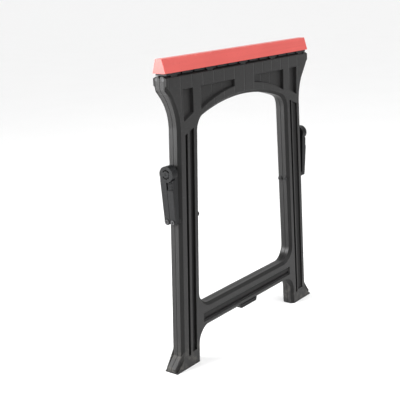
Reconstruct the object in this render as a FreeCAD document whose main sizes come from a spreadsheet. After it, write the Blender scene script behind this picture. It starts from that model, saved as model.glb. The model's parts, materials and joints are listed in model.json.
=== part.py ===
"""Folding sawhorse: a beam cap, two moulded leg frames on hinge pins, and two folding braces.

Row frame: millimetres, +X along the beam, -Y towards the front frame, +Z up, origin on the
ground at the middle of the folded sawhorse.  The sawhorse is modelled folded flat.
"""
import FreeCAD, Part
import math
import os
import Sketcher
from FreeCAD import Placement, Rotation, Vector

SIZES = {
    # overall
    "beam_length": 650.0,          # beam, end face to end face
    "frame_top": 765.0,            # top of both leg frames above the ground
    "frame_thick": 19.4,           # one leg frame, front to back
    "seam_gap": 1.2,               # gap between the two folded frames
    "pad_thick": 4.0,              # rubber sole under each foot
    # beam ends and legs
    "beam_end_depth": 33.0,        # height of the beam's end face
    "flare_radius": 147.0,         # curve from the beam end down into the leg
    "flare_reach": 41.0,           # how far the beam end stands out past the leg
    "leg_lean": 25.0,              # how much wider the legs stand at the foot
    "leg_width_top": 79.0,         # leg, across, below the head
    "leg_width_foot": 78.0,        # leg, across, at the foot
    "leg_bevel": 8.0,              # bevel along the front edges
    "top_bevel_depth": 10.0,       # bevel along the top edge, measured across
    "top_bevel_drop": 5.0,         # bevel along the top edge, measured down
    "toe_height": 34.0,            # where the toe leaves the leg
    "toe_reach": 27.0,             # toe, past the leg
    "toe_end_height": 8.0,
    # head and its arch
    "arch_drop": 82.0,             # top of the arch below the frames' top
    "arch_radius": 560.0,
    "arch_side_drop": 150.0,       # where the legs' inner walls start to curve in
    "arch_corner": 42.0,
    # crossbar
    "bar_top": 151.0,
    "bar_bottom": 88.5,
    "bar_corner": 42.0,
    "bar_panel_above": 22.0,       # from the panel to the crossbar's top
    "bar_panel_below": 14.0,
    "bar_panel_depth": 3.0,
    "bar_groove_rise": 4.0,        # groove in the panel's lower part
    "bar_groove_height": 10.0,
    "bar_groove_depth": 7.0,
    "bar_panel_end": 11.5,         # from the panel's end to the leg
    "grip_half": 41.0,             # pull grip under the crossbar
    "grip_drop": 9.0,
    "grip_inset": 4.0,
    # decorative pockets in the head
    "window_depth": 8.0,
    "window_drop": 37.0,           # their top below the frames' top
    "window_inner": 46.0,
    "window_end": 132.5,           # from the beam's end face
    "window_arch_band": 28.0,      # between the arch and the pockets, at the middle
    "window_arch_radius": 464.0,
    "window_cell_rise": 12.0,      # cells behind the pockets, above the arch
    "notch_inner_end": 101.0,      # from the beam's end face
    "notch_outer_end": 61.5,
    "notch_inner_drop": 98.5,
    "notch_outer_drop": 117.0,
    # flutes down the front of the legs
    "flute_depth": 7.0,
    "shallow_flute_depth": 4.0,
    "narrow_flute": 8.4,
    "wide_flute": 17.0,
    "flute_rib": 9.0,
    "flute_edge": 16.0,
    "flute_foot_step": 6.0,        # the wide flutes stop higher
    "flute_top_run": 50.0,         # width over which the slanted tops rise
    "inner_flute_edge": 12.0,
    "inner_flute_rib": 5.0,
    "shallow_flute": 25.0,
    "flute_foot_gap": 33.0,
    "flute_outer_drop": 150.0,     # slanted tops of the flutes, below the frames' top
    "flute_inner_drop": 130.0,
    # ribbed back of the mouldings
    "wall": 4.0,
    "skin": 3.0,
    "cell_length": 62.0,
    "pin_tube_radius": 3.8,
    # hinge
    "hinge_drop": 8.0,             # hinge axis below the frames' top
    "pin_radius": 3.0,
    "running_gap": 0.05,           # radial gap of a pin in its bore
    "end_gap": 0.3,                # between faces that turn on each other
    "ear_radius": 6.5,
    "ear_width": 24.0,
    "ear_gap": 0.8,
    "ear_waist": 0.5,              # the ear's neck is narrower than its round end
    "ear_swing": 1.3,              # more room in front of the neck, for the open position
    "ear_end": 35.0,               # from the last ear's middle to the beam's end face
    "ear_count": 5.0,
    "rail_gap": 0.7,               # between the frames' top and the rail
    "rail_thick": 5.8,
    "rail_lip": 0.2,               # rail past the ears
    "rail_notch_width": 11.0,
    "rail_notch_depth": 3.0,
    "rail_notch_pitch": 48.0,
    "rail_notch_count": 12.0,
    "rail_end_gap": 6.0,
    "pin_end_gap": 14.0,           # from the beam's end face to the pin's end
    "plug_radius": 4.2,
    "plug_length": 10.0,
    # cap
    "cap_height": 34.5,
    "cap_top": 19.4,
    "cap_overhang": 1.0,
    "cap_wall": 3.2,
    "screw_end": 85.0,             # from the last screw to the beam's end face
    "cap_rib": 10.0,
    "screw_radius": 1.9,
    "screw_head_radius": 3.6,
    "screw_head_height": 2.2,
    "screw_length": 14.0,
    "screw_slot_width": 0.8,
    "screw_slot_depth": 0.9,
    # braces
    "brace_pin_y": 9.0,            # pins through the legs, from the seam
    "brace_pin_drop": 363.0,       # pin through the leg, below the frames' top
    "brace_pin_radius": 2.5,
    "hub_drop": 240.0,             # middle pin of the folded brace, below the frames' top
    "hub_radius": 20.5,
    "hub_thick": 21.4,             # both links together at the hub
    "link_low_thick": 14.4,        # links at the leg pin
    "layer": 10.5,                 # thickness of the inner layer at the hub
    "layer_gap": 0.5,
    "link_side_gap": 0.8,
    "link_edge_inset": 1.5,        # the arms are narrower than the hub
    "link_step_drop": 40.0,        # where the front link gets its full thickness
    "link_recess": 4.0,            # shelf between the hub and the full arm
    "link_shelf_drop": 14.0,
    "link_tooth_proud": 2.0,
    "link_tooth_height": 1.6,
    "link_tooth_pitch": 4.0,
    "link_tooth_count": 5.0,
    "link_tooth_inset": 3.0,
    "spacer_thick": 1.6,
    "spacer_radius": 7.5,
    "boss_radius": 8.2,
    "boss_height": 2.4,
    "clip_boss_radius": 7.0,
    "clip_boss_height": 1.5,
    "hub_pin_radius": 4.0,
    "hub_pin_inset": 1.0,
    "hub_cap_radius": 9.0,
    "hub_cap_depth": 5.0,
    "hub_cap_proud": 0.8,
    "hub_cap_dimple": 1.0,         # depth of the round dimple in the cap
    "hub_slot_width": 3.0,
    "hub_slot_lap": 0.2,           # the slots cut a little into the cap's seat
    "hub_slot_depth": 4.0,
    "rivet_head_radius": 5.6,
    "rivet_head_height": 1.8,
    "rivet_dimple_radius": 1.9,
    "pin_tip": 1.0,                # pin standing out of its clip
    "clip_radius": 6.0,
    "clip_thick": 1.6,
}

doc = FreeCAD.newDocument("folding_sawhorse")
sheet = doc.addObject("Spreadsheet::Sheet", "sizes")
for row, (alias, size) in enumerate(SIZES.items(), start=1):
    sheet.set("A%d" % row, alias)
    sheet.set("B%d" % row, str(size))
    sheet.setAlias("B%d" % row, alias)
doc.recompute()

OVERRUN = 1.0                      # how far a cut goes past the surface it starts or ends at
FAR = 60.0                         # and where it only has to clear everything
DRAFT = -18                        # degrees: walls of the decorative pockets
PANEL_DRAFT = -40
HUB_SLOT_STARTS = (30, 210)        # degrees round the hub
HUB_SLOT_TURN = 120
SCREW_STEPS = (-3, -2, -1, 1, 2, 3)

# Derived places, as expressions on the sheet.
HALF_BEAM = "sizes.beam_length / 2"
HINGE_Z = "(sizes.frame_top - sizes.hinge_drop)"
MID_Y = "(sizes.seam_gap / 2 + sizes.frame_thick / 2)"
BACK_Y = "sizes.seam_gap / 2"
FRONT_Y = "(sizes.seam_gap / 2 + sizes.frame_thick)"
LEG_TOP_X = "(sizes.beam_length / 2 - sizes.flare_reach)"
FLARE_DROP = "sqrt(sizes.flare_radius ^ 2 - (sizes.flare_radius - sizes.flare_reach) ^ 2)"
LEG_TOP_Z = "(sizes.frame_top - sizes.beam_end_depth - %s)" % FLARE_DROP
LEG_FOOT_X = "(%s + sizes.leg_lean)" % LEG_TOP_X
TOE_Z = "(sizes.pad_thick + sizes.toe_height)"
TOE_X = "(%s + sizes.toe_reach)" % LEG_FOOT_X
RAIL_Z = "(sizes.frame_top + sizes.rail_gap)"
CAP_Z = "(%s + sizes.rail_thick)" % RAIL_Z
PIN_X = "(sizes.beam_length / 2 - sizes.pin_end_gap)"
ARCH_TOP = "(sizes.frame_top - sizes.arch_drop)"
ARCH_SIDE = "(sizes.frame_top - sizes.arch_side_drop)"
WINDOW_TOP = "(sizes.frame_top - sizes.window_drop)"
WINDOW_OUTER = "(%s - sizes.window_end)" % HALF_BEAM
NOTCH_INNER = "(%s - sizes.notch_inner_end)" % HALF_BEAM
NOTCH_OUTER = "(%s - sizes.notch_outer_end)" % HALF_BEAM
NOTCH_INNER_BOTTOM = "(sizes.frame_top - sizes.notch_inner_drop)"
NOTCH_OUTER_BOTTOM = "(sizes.frame_top - sizes.notch_outer_drop)"
FLUTE_TOP_OUTER = "(sizes.frame_top - sizes.flute_outer_drop)"
FLUTE_TOP_INNER = "(sizes.frame_top - sizes.flute_inner_drop)"
BRACE_PIN_Z = "(sizes.frame_top - sizes.brace_pin_drop)"
HUB_Z = "(sizes.frame_top - sizes.hub_drop)"
RAIL_HALF = "(%s + sizes.ear_radius - sizes.ear_waist + sizes.rail_lip)" % MID_Y

nodes = []


def number(expression):
    """Value of an expression on the sheet."""
    return float(sheet.evalExpression(expression))


def minus(expression):
    return "-(%s)" % expression


def outer_x(height):
    """Outer wall of a leg at a height, as an expression."""
    return ("(%s + sizes.leg_lean * (%s - %s) / (%s - %s))"
            % (LEG_TOP_X, LEG_TOP_Z, height, LEG_TOP_Z, TOE_Z))


def inner_x(height):
    """Inner wall of a leg at a height, as an expression."""
    width = ("(sizes.leg_width_foot + (sizes.leg_width_top - sizes.leg_width_foot)"
             " * (%s - %s) / (%s - %s))" % (height, TOE_Z, LEG_TOP_Z, TOE_Z))
    return "(%s - %s)" % (outer_x(height), width)


CLIP_X = "(%s - sizes.clip_boss_height)" % inner_x(BRACE_PIN_Z)
BOSS_END = "(%s + sizes.boss_height)" % outer_x(BRACE_PIN_Z)
LINK_INNER = "(%s + sizes.spacer_thick)" % BOSS_END
HUB_OUTER = "(%s + sizes.hub_thick)" % LINK_INNER
LINK_LOW_OUTER = "(%s + sizes.link_low_thick)" % LINK_INNER
EAR_SPAN = "(sizes.beam_length - 2 * sizes.ear_end)"
EAR_START = "(-%s / 2)" % EAR_SPAN
SCREW_X = ["(%d / 3 * (%s - sizes.screw_end))" % (step, HALF_BEAM) for step in SCREW_STEPS]
ARCH_CENTRE = f"({ARCH_TOP} - sizes.arch_radius)"
HALF_TURN = Placement(Vector(), Rotation(Vector(0, 0, 1), 180))


def body_plane(body, role):
    return [item for item in body.Origin.OriginFeatures if item.Role == role][0]


def arc_between(start, end, radius, turn):
    """Arc of a circle from start to end; turn is +1 anticlockwise, -1 clockwise."""
    chord = end - start
    side = Vector(-chord.y, chord.x, 0).normalize() * turn
    rise = math.sqrt(max(radius ** 2 - chord.Length ** 2 / 4, 0))
    centre = (start + end) * 0.5 + side * rise
    first, last = (start, end) if turn > 0 else (end, start)
    angle_a = math.atan2(first.y - centre.y, first.x - centre.x)
    angle_b = math.atan2(last.y - centre.y, last.x - centre.x)
    if angle_b < angle_a:
        angle_b += 2 * math.pi
    return Part.ArcOfCircle(Part.Circle(centre, Vector(0, 0, 1), radius), angle_a, angle_b)


def bind(sketch, kind, *args):
    """Add a dimension to a sketch and bind it to its expression, the last argument."""
    index = sketch.addConstraint(Sketcher.Constraint(kind, *args[:-1], number(args[-1])))
    sketch.setExpression("Constraints[%d]" % index, args[-1])


def add_circle(sketch, x, y, radius):
    circle = Part.Circle(Vector(number(x), number(y), 0), Vector(0, 0, 1), number(radius))
    geometry = sketch.addGeometry(circle, False)
    bind(sketch, "Radius", geometry, radius)
    bind(sketch, "DistanceX", -1, 1, geometry, 3, x)
    bind(sketch, "DistanceY", -1, 1, geometry, 3, y)


def add_wire(sketch, corners):
    """Closed wire.  A corner is (x, y), or (x, y, radius, turn) where an arc starts there."""
    spots = [Vector(number(corner[0]), number(corner[1]), 0) for corner in corners]
    ends = []
    for place, corner in enumerate(corners):
        start, end = spots[place], spots[(place + 1) % len(spots)]
        if len(corner) == 4:
            edge = arc_between(start, end, number(corner[2]), corner[3])
            ends.append((1, 2) if corner[3] > 0 else (2, 1))
        else:
            edge = Part.LineSegment(start, end)
            ends.append((1, 2))
        last = sketch.addGeometry(edge, False)
    first = last - len(corners) + 1
    for place, corner in enumerate(corners):
        edge, after = first + place, first + (place + 1) % len(corners)
        finish, begin = ends[place][1], ends[(place + 1) % len(corners)][0]
        sketch.addConstraint(Sketcher.Constraint("Coincident", edge, finish, after, begin))
        bind(sketch, "DistanceX", -1, 1, edge, ends[place][0], corner[0])
        bind(sketch, "DistanceY", -1, 1, edge, ends[place][0], corner[1])
        if len(corner) == 4:
            bind(sketch, "Radius", edge, corner[2])


def new_body(label):
    body = doc.addObject("PartDesign::Body", label)
    body.Label = label
    nodes.append(body)
    return body


def new_sketch(body, name, role, offset, wires):
    """Sketch on one of the body's origin planes, moved along the plane's normal."""
    sketch = body.newObject("Sketcher::SketchObject", name)
    sketch.AttachmentSupport = (body_plane(body, role), [""])
    sketch.MapMode = "FlatFace"
    sketch.setExpression("AttachmentOffset.Base.z", offset)
    for wire in wires:
        if wire[0] == "circle":
            add_circle(sketch, *wire[1:])
        else:
            add_wire(sketch, wire)
    sketch.Visibility = False
    return sketch


def pad(body, name, role, offset, wires, length, reverse=False, taper=0):
    feature = body.newObject("PartDesign::Pad", name)
    feature.Profile = new_sketch(body, name + "_sketch", role, offset, wires)
    feature.setExpression("Length", length)
    feature.Reversed = reverse
    feature.TaperAngle = taper
    doc.recompute()
    return feature


def pocket(body, name, role, offset, wires, length, reverse=False, taper=0):
    """Cut into the body; it has to take material away."""
    before = body.Shape.Volume
    feature = body.newObject("PartDesign::Pocket", name)
    feature.Profile = new_sketch(body, name + "_sketch", role, offset, wires)
    feature.setExpression("Length", length)
    feature.Reversed = reverse
    feature.TaperAngle = taper
    doc.recompute()
    if not body.Shape.Volume < before - 1e-3:
        raise RuntimeError("%s cuts nothing" % name)
    return feature


def pad_x(body, name, start, wires, length, side):
    """Pad away from the middle, to the right or the left."""
    if side > 0:
        return pad(body, name, "YZ_Plane", start, wires, length)
    return pad(body, name, "YZ_Plane", minus(start), wires, length, reverse=True)


def pocket_x(body, name, start, wires, length, side):
    """Pocket away from the middle, to the right or the left."""
    if side > 0:
        return pocket(body, name, "YZ_Plane", start, wires, length, reverse=True)
    return pocket(body, name, "YZ_Plane", minus(start), wires, length)


def repeat(body, features, name, role, length, count):
    """Linear pattern of features along the normal of an origin plane."""
    pattern = body.newObject("PartDesign::LinearPattern", name)
    pattern.Originals = features
    pattern.Direction = (body_plane(body, role), [""])
    pattern.setExpression("Length", length)
    pattern.setExpression("Occurrences", count)
    body.Tip = pattern
    doc.recompute()
    return pattern


def rectangle(x0, y0, x1, y1):
    return [(x0, y0), (x1, y0), (x1, y1), (x0, y1)]


# ---------------------------------------------------------------- leg frames
def mirrored(side):
    """Closed wire from its right half, which runs clockwise from the top to the bottom."""
    left = []
    for place in range(len(side) - 1, -1, -1):
        arc = side[place - 1][2:] if place else ()
        left.append((minus(side[place][0]), side[place][1]) + tuple(arc))
    return side + left


def frame_outline():
    """Legs and head from the front, drawn past the end faces, which are trimmed flat later."""
    corner = "sizes.bar_corner"
    past = "(2 * sizes.leg_bevel)"
    past_centre = "(sizes.flare_radius - sizes.flare_reach - %s)" % past
    flare_z = "(%s + sqrt(sizes.flare_radius ^ 2 - %s ^ 2))" % (LEG_TOP_Z, past_centre)
    toe_slope = "((sizes.toe_height - sizes.toe_end_height) / sizes.toe_reach)"
    toe_end = "(sizes.pad_thick + sizes.toe_end_height - %s * %s)" % (past, toe_slope)
    bottom = "(sizes.pad_thick - %s)" % past
    corner_z = "(sizes.bar_bottom - %s)" % corner
    return mirrored([
        ("(%s + %s)" % (HALF_BEAM, past), "(sizes.frame_top + %s)" % past),
        ("(%s + %s)" % (HALF_BEAM, past), flare_z, "sizes.flare_radius", +1),
        (LEG_TOP_X, LEG_TOP_Z),
        (LEG_FOOT_X, TOE_Z),
        ("(%s + %s)" % (TOE_X, past), toe_end),
        ("(%s + %s)" % (TOE_X, past), bottom),
        (inner_x(bottom), bottom),
        (inner_x(corner_z), corner_z, corner, +1),
        ("(%s - %s)" % (inner_x("sizes.bar_bottom"), corner), "sizes.bar_bottom"),
    ])


def trim_outline():
    """What stays of the outline: flat beam ends, top, toes and soles."""
    step = "(%s + sizes.flare_reach)" % LEG_TOP_Z
    far = f"({TOE_X} + {FAR})"
    keep = mirrored([(HALF_BEAM, "sizes.frame_top"), (HALF_BEAM, step), (TOE_X, step),
                     (TOE_X, "sizes.pad_thick")])
    return [keep, rectangle(minus(far), f"-{FAR}", far, f"(sizes.frame_top + {FAR})")]


def frame_opening():
    """Tall window between the legs: crossbar, leg walls, and an arch that runs into its corners."""
    low, high = "sizes.bar_corner", "sizes.arch_corner"
    low_z = "(sizes.bar_top + %s)" % low
    low_x = "(%s - %s)" % (inner_x("sizes.bar_top"), low)
    side_x = inner_x(ARCH_SIDE)
    corner_x = f"({side_x} - {high})"
    corner_rise = f"sqrt((sizes.arch_radius - {high}) ^ 2 - {corner_x} ^ 2)"
    corner_z = f"({ARCH_CENTRE} + {corner_rise})"
    share = f"(sizes.arch_radius / (sizes.arch_radius - {high}))"
    meet_x = f"({corner_x} * {share})"
    meet_z = f"({ARCH_CENTRE} + {corner_rise} * {share})"
    return [
        (minus(low_x), "sizes.bar_top"),
        (low_x, "sizes.bar_top", low, +1),
        (inner_x(low_z), low_z),
        (side_x, corner_z, high, +1),
        (meet_x, meet_z, "sizes.arch_radius", +1),
        (minus(meet_x), meet_z, high, +1),
        (minus(side_x), corner_z),
        (minus(inner_x(low_z)), low_z, low, +1),
    ]


def top_profile():
    """What comes off the beam's top: the front bevel and the round that clears the other frame."""
    swing = "(%s - %s)" % (MID_Y, BACK_Y)
    rest = "sqrt(%s ^ 2 - sizes.hinge_drop ^ 2)" % swing
    above = f"(sizes.frame_top + {OVERRUN})"
    bevel_low = "(sizes.frame_top - sizes.top_bevel_drop)"
    outside = minus(f"{FRONT_Y} + {OVERRUN}")
    front = [(outside, bevel_low),
             (minus(FRONT_Y), bevel_low),
             (minus("%s - sizes.top_bevel_depth" % FRONT_Y), "sizes.frame_top"),
             (minus("%s - sizes.top_bevel_depth" % FRONT_Y), above),
             (outside, above)]
    back = [(minus(BACK_Y), HINGE_Z, swing, +1),
            (minus("%s - %s" % (MID_Y, rest)), "sizes.frame_top"),
            (minus("%s - %s" % (MID_Y, rest)), above),
            (minus(BACK_Y), above)]
    return [front, back]


def head_windows():
    """Two long pockets and two small end notches in the head."""
    radius = "sizes.window_arch_radius"
    centre = f"({ARCH_TOP} + sizes.window_arch_band - {radius})"

    def arch_z(x):
        return f"({centre} + sqrt({radius} ^ 2 - {x} ^ 2))"

    wires = []
    for side in (1, -1):
        flip = (lambda x: x) if side > 0 else minus
        inner, outer = "sizes.window_inner", WINDOW_OUTER
        wires.append([(flip(inner), WINDOW_TOP), (flip(outer), WINDOW_TOP),
                      (flip(outer), arch_z(outer), radius, side), (flip(inner), arch_z(inner))])
        wires.append([(flip(NOTCH_INNER), WINDOW_TOP),
                      (flip(NOTCH_OUTER), WINDOW_TOP),
                      (flip(NOTCH_OUTER), NOTCH_OUTER_BOTTOM),
                      (flip(NOTCH_INNER), NOTCH_INNER_BOTTOM)])
    return wires


def flute(side, start, width, from_outside, low="sizes.flute_foot_gap"):
    """One flute down a leg: start is measured from the bevel's edge on the named wall."""

    def across(height, shift):
        if from_outside:
            return "(%s - sizes.leg_bevel - %s)" % (outer_x(height), shift)
        return "(%s + sizes.leg_bevel + %s)" % (inner_x(height), shift)

    near, far = start, "(%s + %s)" % (start, width)

    def top(shift):
        slope = f"(({FLUTE_TOP_INNER} - {FLUTE_TOP_OUTER}) / sizes.flute_top_run)"
        if from_outside:
            return f"({FLUTE_TOP_OUTER} + (%s - sizes.flute_edge) * %s)" % (shift, slope)
        return f"({FLUTE_TOP_INNER} - (%s - sizes.flute_edge) * %s)" % (shift, slope)

    flip = (lambda x: x) if side > 0 else minus
    return [(flip(across(low, near)), low), (flip(across(low, far)), low),
            (flip(across(top(far), far)), top(far)), (flip(across(top(near), near)), top(near))]


def leg_cells(side, level):
    """One cell of the ribbed back of a leg, counted upwards from the foot."""
    low = "(%s + %d * (sizes.cell_length + sizes.wall))" % (TOE_Z, level)
    high = "(%s + sizes.cell_length)" % low
    flip = (lambda x: x) if side > 0 else minus

    def inside(height):
        return "(%s + sizes.wall)" % inner_x(height)

    def outside(height):
        return "(%s - sizes.wall)" % outer_x(height)
    return [(flip(inside(low)), low), (flip(outside(low)), low),
            (flip(outside(high)), high), (flip(inside(high)), high)]


def bar_cell(place, count):
    """One cell of the crossbar's ribbed back."""
    left = "((%d - %d / 2) * (sizes.cell_length + sizes.wall) + sizes.wall / 2)" % (place, count)
    return rectangle(left, "(sizes.bar_bottom + sizes.wall)",
                     "(%s + sizes.cell_length)" % left, "(sizes.bar_top - sizes.wall)")


def window_cells():
    """Shallow cells behind the head's long pockets."""
    middle = f"((sizes.window_inner + {WINDOW_OUTER}) / 2)"
    low, high = f"({ARCH_TOP} + sizes.window_cell_rise)", f"({WINDOW_TOP} - sizes.wall)"
    wires = []
    for side in (1, -1):
        flip = (lambda x: x) if side > 0 else minus
        for near, far in (("(sizes.window_inner + sizes.wall)", "(%s - sizes.wall / 2)" % middle),
                          ("(%s + sizes.wall / 2)" % middle, f"({WINDOW_OUTER} - sizes.wall)")):
            wires.append(rectangle(flip(near), low, flip(far), high))
    return wires


def ear_neck(bank, radius, top, extra):
    """Straight part of a hinge ear or its slot, from the axis up; bank is -1 for the front."""
    flip = minus if bank < 0 else (lambda y: y)
    near, far = "(%s - %s)" % (MID_Y, radius), "(%s + %s + %s)" % (MID_Y, radius, extra)
    return rectangle(flip(near), HINGE_Z, flip(far), top)


def make_frame(label, turned):
    """Leg frame: one moulding with head, two legs and crossbar; both frames are the same part."""
    body = new_body(label)
    bevel_y = "(%s - sizes.leg_bevel)" % FRONT_Y
    pad(body, "blank", "XZ_Plane", BACK_Y, [frame_outline()], "(sizes.frame_thick - sizes.leg_bevel)")
    pad(body, "front_bevel", "XZ_Plane", bevel_y, [frame_outline()], "sizes.leg_bevel", taper=-45)
    pocket(body, "opening", "XZ_Plane", bevel_y, [frame_opening()], "sizes.frame_thick")
    pocket(body, "opening_bevel", "XZ_Plane", bevel_y, [frame_opening()], "sizes.leg_bevel",
           reverse=True, taper=45)
    pocket(body, "trim", "XZ_Plane", FRONT_Y, trim_outline(), "sizes.frame_thick")
    reach = f"({HALF_BEAM} + {FAR})"
    pocket(body, "top_shape", "YZ_Plane", reach, top_profile(), "(2 * %s)" % reach)

    pocket(body, "head_windows", "XZ_Plane", FRONT_Y, head_windows(), "sizes.window_depth",
           taper=DRAFT)
    bar_low = "(sizes.bar_bottom + sizes.bar_panel_below)"
    bar_high = "(sizes.bar_top - sizes.bar_panel_above)"
    panel_end = "(%s - sizes.bar_panel_end)" % inner_x("(sizes.bar_top / 2 + sizes.bar_bottom / 2)")
    pocket(body, "bar_panel", "XZ_Plane", FRONT_Y,
           [rectangle(minus(panel_end), bar_low, panel_end, bar_high)],
           "sizes.bar_panel_depth", taper=PANEL_DRAFT)
    groove_low = "(%s + sizes.bar_groove_rise)" % bar_low
    groove_end = "(%s - sizes.bar_groove_rise)" % panel_end
    pocket(body, "bar_groove", "XZ_Plane", FRONT_Y,
           [rectangle(minus(groove_end), groove_low, groove_end,
                      "(%s + sizes.bar_groove_height)" % groove_low)],
           "sizes.bar_groove_depth", taper=DRAFT)
    second = "(sizes.flute_edge + sizes.narrow_flute + sizes.flute_rib)"
    inner_second = "(sizes.inner_flute_edge + sizes.narrow_flute + sizes.inner_flute_rib)"
    wide_low = "(sizes.flute_foot_gap + sizes.flute_foot_step)"
    pocket(body, "flutes", "XZ_Plane", FRONT_Y,
           [flute(-1, "sizes.flute_edge", "sizes.narrow_flute", True),
            flute(-1, second, "sizes.wide_flute", True, wide_low),
            flute(1, "sizes.inner_flute_edge", "sizes.narrow_flute", False)],
           "sizes.flute_depth")
    pocket(body, "shallow_flute", "XZ_Plane", FRONT_Y,
           [flute(1, inner_second, "sizes.shallow_flute", False, wide_low)],
           "sizes.shallow_flute_depth")

    pitch = number("(sizes.cell_length + sizes.wall)")
    levels = int(number("(%s - %s)" % (LEG_TOP_Z, TOE_Z)) // pitch)
    bar_count = int(2 * number("(%s - sizes.bar_corner)" % inner_x("sizes.bar_top")) // pitch)
    pocket(body, "leg_cells", "XZ_Plane", BACK_Y,
           [leg_cells(side, level) for side in (1, -1) for level in range(levels)],
           "(sizes.frame_thick - sizes.flute_depth - sizes.skin)", reverse=True)
    pocket(body, "bar_cells", "XZ_Plane", BACK_Y,
           [bar_cell(place, bar_count) for place in range(bar_count)],
           "(sizes.frame_thick - sizes.bar_groove_depth - sizes.skin)", reverse=True)
    pocket(body, "window_cells", "XZ_Plane", BACK_Y, window_cells(),
           "(sizes.frame_thick - sizes.window_depth - sizes.skin)", reverse=True)

    grip_y = "(%s - sizes.grip_inset)" % FRONT_Y
    grip_low = "(sizes.bar_bottom - sizes.grip_drop)"
    grip_end = "(sizes.grip_half - sizes.grip_drop / 2)"
    grip_top = f"(sizes.bar_bottom + {OVERRUN})"
    pad(body, "grip", "XZ_Plane", BACK_Y,
        [[(minus(grip_end), grip_low), (grip_end, grip_low), ("sizes.grip_half", grip_top),
          (minus("sizes.grip_half"), grip_top)]], "(%s - %s)" % (grip_y, BACK_Y))

    pin_y, pin_z = minus("sizes.brace_pin_y"), BRACE_PIN_Z
    for side, word in ((1, "right"), (-1, "left")):
        start = "(%s - sizes.wall)" % outer_x(pin_z)
        pad_x(body, word + "_boss", start, [("circle", pin_y, pin_z, "sizes.boss_radius")],
              "(%s - %s)" % (BOSS_END, start), side)
        pad_x(body, word + "_clip_boss", CLIP_X, [("circle", pin_y, pin_z, "sizes.clip_boss_radius")],
              "(sizes.clip_boss_height + sizes.wall)", side)
        start = inner_x(pin_z)
        pad_x(body, word + "_pin_tube", start, [("circle", pin_y, pin_z, "sizes.pin_tube_radius")],
              "(%s - %s)" % (outer_x(pin_z), start), side)
    pocket(body, "brace_pin_bore", "YZ_Plane", HALF_BEAM,
           [("circle", pin_y, pin_z, "sizes.brace_pin_radius")], "sizes.beam_length")
    bore = "(sizes.pin_radius + sizes.running_gap)"
    pocket(body, "hinge_bore", "YZ_Plane", reach, [("circle", minus(MID_Y), HINGE_Z, bore)],
           "(2 * %s)" % reach)
    plug_start = "(%s - sizes.plug_length)" % HALF_BEAM
    for side, word in ((1, "right"), (-1, "left")):
        pocket_x(body, word + "_plug_bore", plug_start,
                 [("circle", minus(MID_Y), HINGE_Z, "sizes.plug_radius")],
                 f"(sizes.plug_length + {OVERRUN})", side)

    slot_radius = "(sizes.ear_radius + sizes.ear_gap)"
    slot_width = "(sizes.ear_width + 2 * sizes.ear_gap)"
    first = "(%s + %s / 2)" % (EAR_START, slot_width)
    slot = [pocket(body, "slot_round", "YZ_Plane", first,
                   [("circle", minus(MID_Y), HINGE_Z, slot_radius)], slot_width),
            pocket(body, "slot_neck", "YZ_Plane", first,
                   [ear_neck(-1, slot_radius, f"(sizes.frame_top + {OVERRUN})", "sizes.ear_swing")],
                   slot_width)]
    repeat(body, slot, "ear_slots", "YZ_Plane", EAR_SPAN, "sizes.ear_count")
    if turned:
        body.Placement = HALF_TURN
    return body


def make_foot_pad(label, side, turned):
    """Rubber sole, the shape of the foot's underside."""
    low = "sizes.pad_thick"
    inner, toe = inner_x(low), TOE_X
    flip = (lambda x: x) if side > 0 else minus
    body = new_body(label)
    pad(body, "sole", "XY_Plane", "0",
        [[(flip(inner), minus(BACK_Y)), (flip(toe), minus(BACK_Y)), (flip(toe), minus(FRONT_Y)),
          (flip("(%s + sizes.leg_bevel)" % inner), minus(FRONT_Y)),
          (flip(inner), minus("(%s - sizes.leg_bevel)" % FRONT_Y))]], low)
    if turned:
        body.Placement = HALF_TURN
    return body


# ---------------------------------------------------------------- plain turned pieces
def rod(label, y, z, steps, bores=(), side=1):
    """Turned piece along X, away from the middle, from (start, end, radius) steps and bores."""
    body = new_body(label)
    for make, word, stretches in ((pad_x, "step", steps), (pocket_x, "bore", bores)):
        for place, (start, end, radius) in enumerate(stretches):
            make(body, "%s_%d" % (word, place), start, [("circle", y, z, radius)],
                 "(%s - %s)" % (end, start), side)
    return body


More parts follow.
